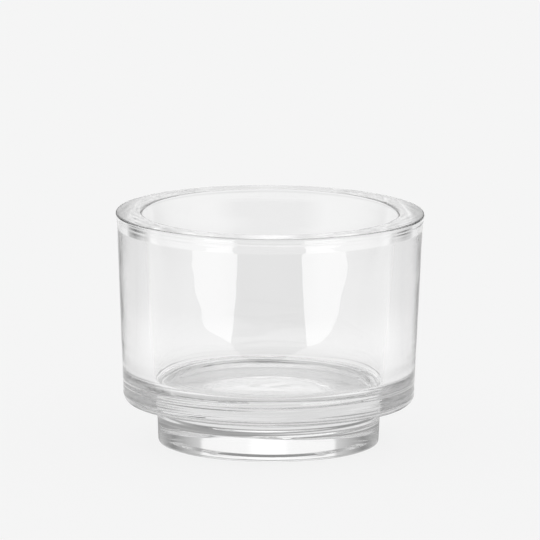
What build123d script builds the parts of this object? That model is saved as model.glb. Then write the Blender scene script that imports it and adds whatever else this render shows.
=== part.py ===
"""Clear glass bowl for a floating candle, pressed in one piece.

A thick rim with a low outer bead, a drafted wall, a rounded heel and a
narrower solid foot. The origin is the centre of the foot where it stands on
the table, and +Z is up.
"""
import math
import os

from build123d import *

# Overall size, in millimetres
RIM_DIAMETER = 100.0
BOWL_HEIGHT = 75.5

# Rim: how wide the lip is across its top, and the bead round its outside with the slope under it
LIP_WIDTH = 8.7
LIP_OUTER_RADIUS = 0.6
LIP_INNER_RADIUS = 1.2
BEAD_HEIGHT = 5.0
BEAD_PROUD = 0.6
BEAD_DRAFT = 0.3
BEAD_SLOPE = 2.4
BEAD_RADIUS = 3.0
NECK_RADIUS = 5.0

# Wall: how far the outside draws in from the bead down to the heel
WALL_TAPER = 2.4
HEEL_RADIUS = 2.6

# Foot: its height up to the underside of the bowl, and its width there
FOOT_HEIGHT = 13.5
FOOT_DIAMETER = 72.5
FOOT_TAPER = 0.6
FOOT_CORNER_RADIUS = 0.6
FOOT_EDGE_RADIUS = 1.0

# Underside: the ring that the bowl stands on, and the shallow recess inside it
STANDING_RING_WIDTH = 14.0
RECESS_DEPTH = 0.7
RECESS_SLOPE = 3.0
RECESS_RADIUS = 3.0

# Cavity: how far it draws in from the mouth to the floor, and the floor
CAVITY_TAPER = 4.2
FLOOR_THICKNESS = 7.0
FLOOR_CORNER_RADIUS = 3.5

# Share of a straight run that the rounding at one of its ends may use
ROUNDING_SHARE = 0.48


def fitted_radius(before, corner, after, wanted):
    """The wanted rounding, or the largest one that its two runs leave room for."""
    back = Vector(*before) - Vector(*corner)
    ahead = Vector(*after) - Vector(*corner)
    half_angle = math.radians(back.get_angle(ahead)) / 2
    room = ROUNDING_SHARE * min(back.length, ahead.length)
    return min(wanted, room * math.tan(half_angle))


def glass_bowl():
    """The half section, from the axis under the foot round to the axis on the floor, turned about Z."""
    rim = RIM_DIAMETER / 2
    bead_bottom = BOWL_HEIGHT - BEAD_HEIGHT
    wall_top = rim - BEAD_PROUD
    foot_top = FOOT_DIAMETER / 2
    foot_base = foot_top - FOOT_TAPER
    ring_inside = foot_base - STANDING_RING_WIDTH
    mouth = rim - LIP_WIDTH
    floor = FOOT_HEIGHT + FLOOR_THICKNESS

    # Each corner of the section with its rounding
    start = (0, RECESS_DEPTH)
    corners = [
        ((ring_inside - RECESS_SLOPE, RECESS_DEPTH), RECESS_RADIUS),
        ((ring_inside, 0), RECESS_RADIUS),
        ((foot_base, 0), FOOT_EDGE_RADIUS),
        ((foot_top, FOOT_HEIGHT), FOOT_CORNER_RADIUS),
        ((wall_top - WALL_TAPER, FOOT_HEIGHT), HEEL_RADIUS),
        ((wall_top, bead_bottom), NECK_RADIUS),
        ((rim - BEAD_DRAFT, bead_bottom + BEAD_SLOPE), BEAD_RADIUS),
        ((rim, BOWL_HEIGHT), LIP_OUTER_RADIUS),
        ((mouth, BOWL_HEIGHT), LIP_INNER_RADIUS),
        ((mouth - CAVITY_TAPER, floor), FLOOR_CORNER_RADIUS),
    ]
    end = (0, floor)

    points = [start] + [point for point, wanted in corners] + [end]
    radii = [
        fitted_radius(points[i], point, points[i + 2], wanted)
        for i, (point, wanted) in enumerate(corners)
    ]
    section = FilletPolyline(*points, radius=radii) + Line(end, start)
    half_section = Plane.XZ * make_face(section)
    return revolve(half_section, Axis.Z)


os.makedirs("parts", exist_ok=True)
bowl = glass_bowl()
bowl.label = "glass_bowl"
export_step(bowl, "parts/glass_bowl.step")
print(f"glass_bowl: {bowl.volume / 1000:.1f} cm3, box {bowl.bounding_box().size}")
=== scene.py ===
# %% [markdown]
# # A pressed-glass bowl for a floating candle
# The bowl is one piece of clear glass: a thick fire-polished rim with a low bead, a drafted wall, a rounded
# heel and a narrower solid foot. Clear glass has no colour of its own. The eye reads it from what it bends
# and mirrors, so this lesson spends its care on the section of the bowl, on the small waves that pressing
# leaves in the surface, and on the table and the light round it.

# %% Load the frame
import math

import bpy
import numpy as np
from mathutils import Matrix


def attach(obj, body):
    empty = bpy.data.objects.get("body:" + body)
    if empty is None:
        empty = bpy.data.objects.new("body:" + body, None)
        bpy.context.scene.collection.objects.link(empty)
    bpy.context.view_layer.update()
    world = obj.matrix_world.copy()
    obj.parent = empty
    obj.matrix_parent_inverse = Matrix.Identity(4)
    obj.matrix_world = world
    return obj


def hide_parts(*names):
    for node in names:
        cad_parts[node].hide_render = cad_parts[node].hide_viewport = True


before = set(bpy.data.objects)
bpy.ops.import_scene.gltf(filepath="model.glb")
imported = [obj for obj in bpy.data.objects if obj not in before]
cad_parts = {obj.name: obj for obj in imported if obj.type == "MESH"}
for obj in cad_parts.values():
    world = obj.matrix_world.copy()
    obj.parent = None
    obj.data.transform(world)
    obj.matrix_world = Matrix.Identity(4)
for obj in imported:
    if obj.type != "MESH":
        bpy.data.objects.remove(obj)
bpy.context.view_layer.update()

# %% [markdown]
# ## Camera
# The bowl is seen from a little above, through a long lens far away, which keeps the rim and the foot at
# nearly the same tilt. A camera could be set by eye. Here its distance, height and pitch were fitted to the
# rim's ellipse, the wall's taper and the foot's curve, for a square picture, so that the lines in the glass
# fall where they should. The picture is a little off level, so the camera is rolled by less than a degree.

# %% Camera
# Lengths are in metres and angles in radians, where a name doesn't say otherwise
PICTURE_PIXELS = 540
SENSOR_MM = 36.0
FOCAL_PIXELS = 12568.0
CAMERA_DISTANCE = 4.0
CAMERA_HEIGHT = 0.7928
CAMERA_PITCH = 0.18207
CAMERA_ROLL = math.radians(0.4)
CAMERA_REACH = 50.0
SHIFT_PIXELS = 0.4

scene = bpy.context.scene
camera_data = bpy.data.cameras.new("camera")
camera = bpy.data.objects.new("camera", camera_data)
scene.collection.objects.link(camera)
camera_data.sensor_width = SENSOR_MM
camera_data.lens = SENSOR_MM * FOCAL_PIXELS / PICTURE_PIXELS
camera_data.shift_x = SHIFT_PIXELS / PICTURE_PIXELS
camera_data.clip_end = CAMERA_REACH
camera.location = (0.0, -CAMERA_DISTANCE, CAMERA_HEIGHT)
tilt = Matrix.Rotation(math.pi / 2 - CAMERA_PITCH, 3, "X") @ Matrix.Rotation(CAMERA_ROLL, 3, "Z")
camera.rotation_euler = tilt.to_euler()
scene.camera = camera
scene.view_settings.view_transform = "Standard"
print("lens", round(camera_data.lens, 1), "mm")

# %% [markdown]
# ## The section of the bowl
# The bowl is pressed in a turned mould, so its whole shape is one half section carried round an axis.
# Blender's Screw modifier could turn it, but the waves of the next step need a height at every point, so the
# section is worked out as an array. It is a list of corners with a rounding at each, as in the CAD model.
# Where the glass has waves or tight roundings the section gets many points, and on plain runs few.

# %% Corners of the section
# Each row is a corner: radius, height, rounding, and the spacing of points on the run after it, all in mm
CORNERS = np.array([
    (0.00, 0.70, 0.0, 2.00),    # under the foot, on the axis
    (18.65, 0.70, 3.0, 0.50),   # edge of the shallow recess
    (21.65, 0.00, 3.0, 1.50),   # inside of the standing ring
    (35.65, 0.00, 1.0, 0.80),   # outside of the standing ring
    (35.98, 7.50, 0.0, 0.25),   # bottom of the wrinkled band of the foot
    (36.25, 13.50, 0.6, 0.80),  # top of the foot, under the ledge
    (47.00, 13.50, 2.6, 0.18),  # heel
    (47.40, 23.00, 0.0, 2.00),  # top of the wrinkled band of the wall
    (49.40, 70.50, 5.0, 0.40),  # neck, under the bead
    (49.70, 72.90, 3.0, 0.22),  # bottom of the bead
    (50.00, 75.50, 0.6, 0.45),  # outer edge of the lip
    (41.30, 75.50, 1.2, 2.00),  # inner edge of the lip
    (37.10, 20.50, 3.5, 0.40),  # where the wall meets the floor
    (27.00, 20.50, 0.0, 1.60),  # inside of the ringed edge of the floor
    (0.00, 20.50, 0.0, 1.00),   # middle of the floor
])
print("section has", len(CORNERS), "corners,", int((CORNERS[:, 2] > 0).sum()), "of them rounded")

# %% Round the corners
ARC_STEP = math.radians(9.0)
FEWEST_ARC_STEPS = 3


def rounded_section(corners):
    """Points along the section, from the axis under the foot round to the axis on the floor.

    A corner with rounding r and half angle h becomes an arc about the point on its bisector at r / sin(h),
    from r / tan(h) before the corner to the same distance after it. Runs between arcs are divided evenly.
    """
    place, rounding, spacing = corners[:, :2], corners[:, 2], corners[:, 3]
    points = place[:1]
    for i in range(1, len(place)):
        arc = place[i:i + 1]
        if rounding[i] > 0:
            back, ahead = place[i - 1] - place[i], place[i + 1] - place[i]
            back, ahead = back / np.linalg.norm(back), ahead / np.linalg.norm(ahead)
            half = math.acos(back @ ahead) / 2
            bisector = (back + ahead) / np.linalg.norm(back + ahead)
            middle = place[i] + bisector * rounding[i] / math.sin(half)
            first = place[i] + back * rounding[i] / math.tan(half) - middle
            last = place[i] + ahead * rounding[i] / math.tan(half) - middle
            turn = math.pi - 2 * half
            steps = max(FEWEST_ARC_STEPS, math.ceil(turn / ARC_STEP))
            share = np.linspace(0.0, 1.0, steps + 1)[:, None]
            arc = middle + (np.sin((1 - share) * turn) * first + np.sin(share * turn) * last) / math.sin(turn)
        start = points[-1]
        count = max(1, math.ceil(np.linalg.norm(arc[0] - start) / spacing[i - 1]))
        share = np.linspace(0.0, 1.0, count + 1)[1:, None]
        points = np.concatenate([points, start + (arc[0] - start) * share, arc[1:]])
    return points


section = rounded_section(CORNERS)
step = np.linalg.norm(np.diff(section, axis=0), axis=1)
along = np.concatenate([[0.0], np.cumsum(step)])
tangent = np.gradient(section, along, axis=0)
tangent /= np.linalg.norm(tangent, axis=1)[:, None]
outward = np.stack([tangent[:, 1], -tangent[:, 0]], axis=1)
print("section", len(section), "points,", round(along[-1], 1), "mm long")

# %% [markdown]
# ## Waves in the pressed glass
# The hot gob chills where it first touches the mould, which leaves faint level wrinkles round the base: on
# the heel, at the top of the foot and round the edge of the floor. The rim is softened again with a flame, so
# it flows into low irregular swells, strongest at the two sides. A bump in the material could hint at them,
# but thick glass shows how a surface really bends light, and a bump isn't in the exported mesh. So the waves
# are real shape, a few hundredths of a millimetre high, and about a tenth where two kinds meet. A sum of
# cosines gives waves of a chosen length that close up round the bowl.

# %% Helpers for waves
TURN_COUNT = 320
PITCH_SPREAD = 0.67, 1.4  # shortest and longest wave of a kind, over its pitch
angle = np.linspace(0.0, 2 * np.pi, TURN_COUNT, endpoint=False)


def waves(seed, most_turns, pitch, count):
    """Sum of cosines of angle and of length along the section, with random phases.

    Each wave goes a whole number of times round, up to most_turns, and repeats every pitch mm along the
    section, give or take a third or so. The sum is divided by the root of their count, so that it mostly
    stays within 1.5 either way, however many there are.
    """
    rng = np.random.RandomState(seed)
    turns = rng.randint(-most_turns, most_turns + 1, count)
    wave_number = 2 * np.pi / (pitch * rng.uniform(*PITCH_SPREAD, count))
    phase = rng.uniform(0.0, 2 * np.pi, count)
    field = np.cos(angle[None, :, None] * turns + along[:, None, None] * wave_number + phase).sum(axis=2)
    return field / math.sqrt(count)


def zone(first, last, edge):
    """1 between two lengths along the section, falling smoothly to 0 over edge mm outside them.

    The fall is three times x squared less twice x cubed, where x goes evenly from 1 to 0.
    """
    rise = np.clip((along - first) / edge + 1, 0, 1) * np.clip((last - along) / edge + 1, 0, 1)
    return (rise * rise * (3 - 2 * rise))[:, None]


def length_at(corner):
    """Length along the section at the point that is nearest to a corner."""
    return along[np.argmin(np.linalg.norm(section - CORNERS[corner, :2], axis=1))]


ring_edge, ledge, heel, neck = (length_at(k) for k in (3, 5, 6, 8))
lip_outside, lip_inside, floor_edge = (length_at(k) for k in (10, 11, 12))
floor_middle = along[-1]
print("heel", round(heel, 1), "mm along the section, lip", round(lip_outside, 1), "mm")

# %% Waves
all_round = np.ones(TURN_COUNT)
at_the_sides = np.cos(angle) ** 2
# Each row: usual height in mm, the lengths along the section where it starts and ends and the width of its
# soft edges in mm, then its seed, most turns, pitch in mm and count of cosines, and its strength round the bowl
WAVE_KINDS = {
    "fine wrinkles above the heel": (0.030, heel + 0.5, heel + 7, 1.5, 3, 2, 2.2, 6, all_round),
    "broad wrinkles of the heel": (0.045, heel - 1, heel + 8, 2.0, 13, 5, 4.4, 6, all_round),
    "long waves of the wall": (0.012, heel + 10, neck, 6.0, 4, 5, 14.0, 14, all_round),
    "flame swells of the lip": (0.034, lip_outside + 1.2, lip_inside - 1, 1.0, 5, 30, 2.4, 14, at_the_sides),
    "ripples of the bead": (0.014, lip_outside - 3, lip_outside - 1, 0.6, 15, 3, 1.2, 14, all_round),
    "long waves of the cavity": (0.012, lip_inside + 2, floor_edge - 4, 3.0, 6, 5, 18.0, 14, all_round),
    "rings of the floor's edge": (0.034, floor_edge - 3, floor_edge + 6, 3.0, 7, 2, 1.9, 14, all_round),
    "slow waves of the floor": (0.012, floor_edge + 8, floor_middle - 8, 6.0, 8, 4, 9.0, 14, all_round),
    "slow waves under the foot": (0.010, 6.0, ring_edge, 3.0, 9, 6, 7.0, 14, all_round),
    "wrinkles of the foot's top": (0.040, ledge - 5, ledge - 0.5, 1.2, 10, 3, 2.4, 6, all_round),
}
swell = np.zeros((len(section), TURN_COUNT))
for kind, (rise, first, last, edge, seed, most_turns, pitch, count, strength) in WAVE_KINDS.items():
    part = rise * zone(first, last, edge) * waves(seed, most_turns, pitch, count) * strength
    swell += part
    print(kind, "up to", round(float(np.abs(part).max()), 3), "mm")
print("waves up to", round(float(np.abs(swell).max()), 3), "mm")

# %% [markdown]
# ## The bowl's surface
# The section is carried round the axis on a grid of length and angle, and each point moves out along the
# section's normal by the height of the waves there. Spinning the section and sculpting the waves would also
# work, but the grid needs no cleaning up and comes out the same each time. The two ends of the section lie on
# the axis, so each is closed by one point and a fan of triangles.

# %% Turn the section
MM = 0.001
radius = section[:, :1] + swell * outward[:, :1]
height = section[:, 1:] + swell * outward[:, 1:]
grid = np.stack([radius * np.cos(angle), radius * np.sin(angle), height], axis=2)[1:-1] * MM
ends = np.array([[0, 0, section[0, 1]], [0, 0, section[-1, 1]]]) * MM
vertices = np.concatenate([grid.reshape(-1, 3), ends])
print("bowl", len(vertices), "points on", len(grid), "rings")

# %% Join the points
ring_count = len(grid)
ring = np.arange(ring_count - 1)[:, None] * TURN_COUNT
next_ring = ring + TURN_COUNT
here = np.arange(TURN_COUNT)
after = (here + 1) % TURN_COUNT
quads = np.stack([ring + here, ring + after, next_ring + after, next_ring + here], axis=2)
last_ring = (ring_count - 1) * TURN_COUNT
under, over = ring_count * TURN_COUNT, ring_count * TURN_COUNT + 1
bottom_fan = np.stack([np.full(TURN_COUNT, under), after, here], axis=1)
floor_fan = np.stack([np.full(TURN_COUNT, over), last_ring + here, last_ring + after], axis=1)
faces = quads.reshape(-1, 4).tolist() + bottom_fan.tolist() + floor_fan.tolist()

mesh = bpy.data.meshes.new("pressed_bowl")
mesh.from_pydata(vertices.tolist(), [], faces)
mesh.polygons.foreach_set("use_smooth", np.ones(len(faces), dtype=bool))
mesh.update()
bowl = bpy.data.objects.new("pressed_bowl", mesh)
scene.collection.objects.link(bowl)
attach(bowl, "root")
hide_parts("glass_bowl")
print("bowl", 2 * quads[..., 0].size + 2 * TURN_COUNT, "triangles")

# %% [markdown]
# ## Glass
# Pressed soda-lime glass, fire-polished. It is colourless and bends light with an index of about 1.52. The
# mould leaves it a little less smooth than blown glass, so the roughness is a trace above nothing and a fine
# shallow bump breaks up the edges of what is seen through it. The thick base looks greyer than the thin wall,
# so the glass itself takes up about a tenth of the light in 5 cm. A Glass shader bends light in the same way.
# The Principled shader was chosen because its settings go over into an exported model.

# %% Colours and nodes
def colour(hex_code):
    """A written sRGB colour as linear values.

    Each part c becomes (c + 0.055) / 1.055 to the power 2.4, or c / 12.92 where it is very dark.
    """
    part = np.array([int(hex_code[i:i + 2], 16) for i in (1, 3, 5)]) / 255
    linear = np.where(part <= 0.04045, part / 12.92, ((part + 0.055) / 1.055) ** 2.4)
    return (*linear.tolist(), 1.0)


def add_node(tree, kind, sockets=None, stops=(), full=1.0, **settings):
    """Adds a node with its settings, and gives each named socket its value or its link.

    A ramp also gets its stops, which are pairs of a place from 0 to full and a grey level there.
    """
    node = tree.nodes.new(kind)
    for name, value in settings.items():
        setattr(node, name, value)
    for i, (at, level) in enumerate(stops):
        elements = node.color_ramp.elements
        stop = elements[i] if i < 2 else elements.new(at / full)
        stop.position, stop.color = at / full, (level, level, level, 1.0)
    for name, value in (sockets or {}).items():
        if isinstance(value, bpy.types.NodeSocket):
            tree.links.new(value, node.inputs[name])
        else:
            node.inputs[name].default_value = value
    return node


print("pale tone", [round(part, 3) for part in colour("#F5F5F5")[:3]])

# %% Pressed soda-lime glass
# It gives the eye bright and dark lines where its surface turns, and a grey cast only where it is thick
MM_PER_METRE = 1000.0
GLASS_INDEX = 1.52
RIPPLE_MM = 6.0
RIPPLE_DEPTH_MM = 0.3
RIPPLE_SHARE = 0.02
GRAIN_MM = 1.2
ROUGHEST = 0.008
GLASS_CAST = colour("#F3F3F3")
CAST_DENSITY = 19.0
SAMPLE_MM = 50.0

glass = bpy.data.materials.new("pressed_soda_lime_glass")
glass.use_nodes = True
tree = glass.node_tree
tree.nodes.clear()
place = add_node(tree, "ShaderNodeTexCoord").outputs["Object"]
ripple = add_node(tree, "ShaderNodeTexNoise", {
    "Vector": place, "Scale": MM_PER_METRE / RIPPLE_MM, "Detail": 2.0})
grain = add_node(tree, "ShaderNodeTexNoise", {
    "Vector": place, "Scale": MM_PER_METRE / GRAIN_MM, "Detail": 1.0})
bump = add_node(tree, "ShaderNodeBump", {
    "Height": ripple.outputs["Fac"], "Strength": RIPPLE_SHARE, "Distance": RIPPLE_DEPTH_MM * MM})
polish = add_node(tree, "ShaderNodeMapRange", {
    "Value": grain.outputs["Fac"], "To Min": 0.0, "To Max": ROUGHEST})
shader = add_node(tree, "ShaderNodeBsdfPrincipled", {
    "Base Color": colour("#FEFEFE"), "IOR": GLASS_INDEX, "Transmission Weight": 1.0,
    "Roughness": polish.outputs["Result"], "Normal": bump.outputs["Normal"]})
cast = add_node(tree, "ShaderNodeVolumeAbsorption", {"Color": GLASS_CAST, "Density": CAST_DENSITY})
add_node(tree, "ShaderNodeOutputMaterial", {
    "Surface": shader.outputs["BSDF"], "Volume": cast.outputs["Volume"]})
mesh.materials.append(glass)
taken_up = 1 - math.exp(-CAST_DENSITY * (1 - GLASS_CAST[0]) * SAMPLE_MM * MM)
print("glass takes up", round(taken_up, 2), "of the light in", SAMPLE_MM, "mm")

# %% Light inside the glass
# A ray through both walls crosses four surfaces, and in the base it is turned back many times more
GLASS_BOUNCES = 24
for name in ("max_bounces", "glossy_bounces", "transmission_bounces"):
    setattr(scene.cycles, name, GLASS_BOUNCES)
print("up to", GLASS_BOUNCES, "bounces")

# %% [markdown]
# ## Table
# The bowl stands on a plain pale table that runs back out of the picture. Seen directly it is one even pale
# tone with the bowl's soft shadow. In the glass it shows painted light and shade, set as a table under studio
# lights would be shaded: painted shade close round the foot, painted lamp light in front, white behind, and
# painted shade at the back on both sides where black flags would stand. Those painted shades are what draws
# the glass. Real lamps and flags could give them, but a few curves of brightness over distance and bearing are
# easier to set.
#
# Glass mirrors only a few percent of the light, so only a surface much brighter than white shows as a
# reflection. Mirrored rays therefore see the painted lamp light on the front of the table at its full
# brightness. Rays that went through the glass see it about as bright as it looks beside the bowl and no
# brighter, or the wall would burn out to white when it is seen from behind.

# %% Helpers for the stage
def panel(name, corners, material):
    """A flat stage panel from its corner points in metres."""
    data = bpy.data.meshes.new(name)
    data.from_pydata(corners, [], [range(len(corners))])
    data.materials.append(material)
    item = bpy.data.objects.new(name, data)
    scene.collection.objects.link(item)
    return item


def bearing_of(tree, direction):
    """Socket with the bearing of a place or direction from straight behind, 0 to 1 for 0 to 180 degrees.

    It is the angle whose tangent is x over y, without its sign, over half a turn.
    """
    parts = add_node(tree, "ShaderNodeSeparateXYZ", {0: direction}).outputs
    turn = add_node(tree, "ShaderNodeMath", {0: parts["X"], 1: parts["Y"]}, operation="ARCTAN2")
    size = add_node(tree, "ShaderNodeMath", {0: turn.outputs[0]}, operation="ABSOLUTE")
    return add_node(tree, "ShaderNodeMath", {0: size.outputs[0], 1: math.pi}, operation="DIVIDE").outputs[0]


# Where a Mix node that is set to colour has its share, its two colours and its result
MIX_SHARE, MIX_FIRST, MIX_SECOND, MIX_RESULT = 0, 6, 7, 2


def fade(tree, value, first, last, before, after):
    """Socket that passes smoothly from one brightness to another as a value goes from first to last."""
    passed = add_node(tree, "ShaderNodeMapRange", {
        "Value": value, "From Min": first, "From Max": last}, interpolation_type="SMOOTHSTEP")
    mixed = add_node(tree, "ShaderNodeMix", {
        MIX_SHARE: passed.outputs[0], MIX_FIRST: before, MIX_SECOND: after}, data_type="RGBA")
    return mixed.outputs[MIX_RESULT]


# %% Shades of the table
HALF_TURN = 180.0
NEAR_REACH_MM = 200.0
# Painted brightness of the table at a distance from the bowl's axis in mm, behind the bowl and in front of it:
# painted shade close round the foot, then painted lamp light and shade in front
NEAR_BEHIND = [(0, 0.77), (20, 0.67), (23, 0.40), (38, 0.26), (56, 0.42), (66, 0.84), (100, 0.86), (160, 0.96)]
NEAR_FRONT = [(0, 0.51), (38, 0.68), (60, 1.20), (76, 1.30), (100, 0.44), (120, 0.55), (145, 2.05)]
# Painted brightness further out at a bearing in degrees, 0 straight behind and 180 straight in front: painted
# shade at the back on both sides and far out in front, painted lamp light at the sides and nearer in front
MIDDLE_ROUND = [(0, 0.85), (66, 0.78), (85, 1.80), (130, 2.00), (180, 2.30)]
FAR_ROUND = [(0, 0.97), (12, 0.95), (28, 0.99), (36, 0.40), (46, 0.13), (60, 0.47), (100, 0.91),
             (125, 1.00), (150, 0.02)]
# Where one of these passes into the next, as bearings over half a turn and as distances in mm
BEHIND_TO_FRONT = 75 / HALF_TURN, 105 / HALF_TURN
NEAR_TO_MIDDLE_MM = 120, 200
MIDDLE_TO_FAR_MM = 280, 400

# The table's glow holds the painted shade and painted lamp light that the glass shows
table_paint = bpy.data.materials.new("matt_white_table_with_painted_shade_and_light")
table_paint.use_nodes = True
tree = table_paint.node_tree
tree.nodes.clear()
place = add_node(tree, "ShaderNodeTexCoord").outputs["Object"]
bearing = bearing_of(tree, place)
metres = add_node(tree, "ShaderNodeVectorMath", {0: place}, operation="LENGTH").outputs["Value"]
away = add_node(tree, "ShaderNodeMath", {0: metres, 1: MM_PER_METRE}, operation="MULTIPLY").outputs[0]
reach = add_node(tree, "ShaderNodeMath", {0: away, 1: NEAR_REACH_MM}, operation="DIVIDE").outputs[0]
behind = add_node(tree, "ShaderNodeValToRGB", {"Fac": reach}, NEAR_BEHIND, NEAR_REACH_MM).outputs[0]
in_front = add_node(tree, "ShaderNodeValToRGB", {"Fac": reach}, NEAR_FRONT, NEAR_REACH_MM).outputs[0]
middle = add_node(tree, "ShaderNodeValToRGB", {"Fac": bearing}, MIDDLE_ROUND, HALF_TURN).outputs[0]
far = add_node(tree, "ShaderNodeValToRGB", {"Fac": bearing}, FAR_ROUND, HALF_TURN).outputs[0]
near = fade(tree, bearing, *BEHIND_TO_FRONT, behind, in_front)
further = fade(tree, away, *MIDDLE_TO_FAR_MM, middle, far)
shade = fade(tree, away, *NEAR_TO_MIDDLE_MM, near, further)
levels = [level for stops in (NEAR_BEHIND, NEAR_FRONT, MIDDLE_ROUND, FAR_ROUND) for at, level in stops]
print("table shades from", min(levels), "to", max(levels))

# %% Matt white table
# Matt paint gives the eye one even tone. Seen directly it is mostly an even glow, and the rest is lit paint,
# which carries the bowl's shadow. Rays mirrored or bent by the glass see only glow, with the painted shade and
# painted lamp light
PALE = colour("#F5F5F5")
GLOW_SEEN_DIRECTLY = 0.93
MOST_THROUGH_GLASS = 0.93
MOST_MIRRORED = 3.0
TABLE_HALF = 6.0
TABLE_DROP = 0.00002  # keeps the waves under the standing ring clear of the table

path = add_node(tree, "ShaderNodeLightPath").outputs
bent = add_node(tree, "ShaderNodeMath", {
    0: path["Is Glossy Ray"], 1: path["Is Transmission Ray"]}, operation="MAXIMUM").outputs[0]
most = add_node(tree, "ShaderNodeMath", {
    0: path["Is Transmission Ray"], 1: MOST_THROUGH_GLASS - MOST_MIRRORED, 2: MOST_MIRRORED},
    operation="MULTIPLY_ADD").outputs[0]
shade = add_node(tree, "ShaderNodeMath", {0: shade, 1: most}, operation="MINIMUM").outputs[0]
glowing = add_node(tree, "ShaderNodeMath", {
    0: path["Is Camera Ray"], 1: GLOW_SEEN_DIRECTLY, 2: bent}, operation="MULTIPLY_ADD").outputs[0]
tone = add_node(tree, "ShaderNodeMix", {
    MIX_SHARE: bent, MIX_FIRST: PALE, MIX_SECOND: shade}, data_type="RGBA").outputs[MIX_RESULT]
lit = add_node(tree, "ShaderNodeBsdfDiffuse", {"Color": PALE})
glow = add_node(tree, "ShaderNodeEmission", {"Color": tone, "Strength": 1.0})
both = add_node(tree, "ShaderNodeMixShader", {0: glowing, 1: lit.outputs[0], 2: glow.outputs[0]})
add_node(tree, "ShaderNodeOutputMaterial", {"Surface": both.outputs[0]})
table_paint.cycles.emission_sampling = "NONE"
SQUARE = (-1, -1), (1, -1), (1, 1), (-1, 1)
panel("table", [(x * TABLE_HALF, y * TABLE_HALF, -TABLE_DROP) for x, y in SQUARE], table_paint)
print("table", 2 * TABLE_HALF, "m square")

# %% [markdown]
# ## Room
# A plain world lights the table evenly from all round. Glass shows no light of its own: it shows the room. So
# for mirrored and bent rays the room has a white backdrop straight behind, dark flags beside it, a dark line
# along the foot of the walls and a softer light above. A picture of a studio could stand here, but with three
# curves round the room it is plain which light makes which line in the glass.

# %% Room
# Brightness at a bearing in degrees, 0 straight behind: along the foot of the walls, on them and above them
LINE_ROUND = [(0, 0.02), (30, 0.20), (50, 0.85)]
WALL_ROUND = [(0, 1.32), (4, 1.28), (8, 1.11), (27, 1.08), (29, 0.68), (38, 0.48), (50, 0.21), (60, 0.31),
              (100, 0.94), (180, 0.53)]
ABOVE_ROUND = [(0, 1.37), (14, 1.10), (26, 0.41), (45, 1.29), (65, 0.85), (180, 0.56)]
# How high each passes into the next
LINE_TOP = math.radians(3), math.radians(8)
WALL_TOP = math.radians(16), math.radians(26)
WHITE = colour("#FFFFFF")

room = bpy.data.worlds.new("studio")
scene.world = room
room.use_nodes = True
tree = room.node_tree
tree.nodes.clear()
direction = add_node(tree, "ShaderNodeTexCoord").outputs["Generated"]
bearing = bearing_of(tree, direction)
rise = add_node(tree, "ShaderNodeSeparateXYZ", {0: direction}).outputs["Z"]
climb = add_node(tree, "ShaderNodeMath", {0: rise}, operation="ARCSINE").outputs[0]
line = add_node(tree, "ShaderNodeValToRGB", {"Fac": bearing}, LINE_ROUND, HALF_TURN).outputs[0]
wall = add_node(tree, "ShaderNodeValToRGB", {"Fac": bearing}, WALL_ROUND, HALF_TURN).outputs[0]
above = add_node(tree, "ShaderNodeValToRGB", {"Fac": bearing}, ABOVE_ROUND, HALF_TURN).outputs[0]
shade = fade(tree, climb, *WALL_TOP, fade(tree, climb, *LINE_TOP, line, wall), above)
path = add_node(tree, "ShaderNodeLightPath").outputs
bent = add_node(tree, "ShaderNodeMath", {
    0: path["Is Glossy Ray"], 1: path["Is Transmission Ray"]}, operation="MAXIMUM").outputs[0]
plain = add_node(tree, "ShaderNodeMix", {
    MIX_SHARE: path["Is Camera Ray"], MIX_FIRST: WHITE, MIX_SECOND: PALE}, data_type="RGBA").outputs[MIX_RESULT]
shown = add_node(tree, "ShaderNodeMix", {
    MIX_SHARE: bent, MIX_FIRST: plain, MIX_SECOND: shade}, data_type="RGBA").outputs[MIX_RESULT]
sky = add_node(tree, "ShaderNodeBackground", {"Color": shown, "Strength": 1.0})
add_node(tree, "ShaderNodeOutputWorld", {"Surface": sky.outputs[0]})
print("room: plain light, a backdrop and flags in the glass")

# %% [markdown]
# ## Cards
# Two light panels lie on the table in front and give the two pale reflections on the wall, painted
# reflections of lamps, and a dimmer glowing card between them gives the grey band, a painted shade between
# them. Their leaf shape was traced back from those reflections. Area lamps would do it too, but they would
# also light the table. Only mirrored rays see these cards: the camera and rays through the glass don't, and
# they throw no light or shadow.

# %% Cards
CARD_LIFT = 0.0004  # above the table, so that the two don't share a surface
PANEL_STRENGTH = 4.1
GAP_STRENGTH = 0.7
# Corners of the right-hand light panel across and in front of the bowl, in metres
LEAF = [(0.084, -0.172), (0.147, -0.150), (0.250, -0.160), (0.262, -0.185), (0.200, -0.258), (0.122, -0.305)]


def card(name, corners, strength):
    """A plain glowing card just above the table, that shows only as a reflection."""
    # A glowing white sheet, painted light that only the glass mirrors, gives the eye one even brightness
    paint = bpy.data.materials.new(name)
    paint.use_nodes = True
    paint.node_tree.nodes.clear()
    light = add_node(paint.node_tree, "ShaderNodeEmission", {"Color": WHITE, "Strength": strength})
    add_node(paint.node_tree, "ShaderNodeOutputMaterial", {"Surface": light.outputs[0]})
    paint.cycles.emission_sampling = "NONE"
    item = panel(name, [(x, y, CARD_LIFT) for x, y in corners], paint)
    item.visible_camera = item.visible_diffuse = False
    item.visible_shadow = item.visible_transmission = False


(near_x, near_y), (far_x, far_y) = LEAF[0], LEAF[-1]
# Both light panels are painted lamp reflections, and the dimmer card between them is a painted shade
card("light_panel_left", [(-x, y) for x, y in LEAF], PANEL_STRENGTH)
card("light_panel_right", LEAF, PANEL_STRENGTH)
card("painted_shade_between", [(-near_x, near_y), (near_x, near_y), (far_x, far_y), (-far_x, far_y)], GAP_STRENGTH)
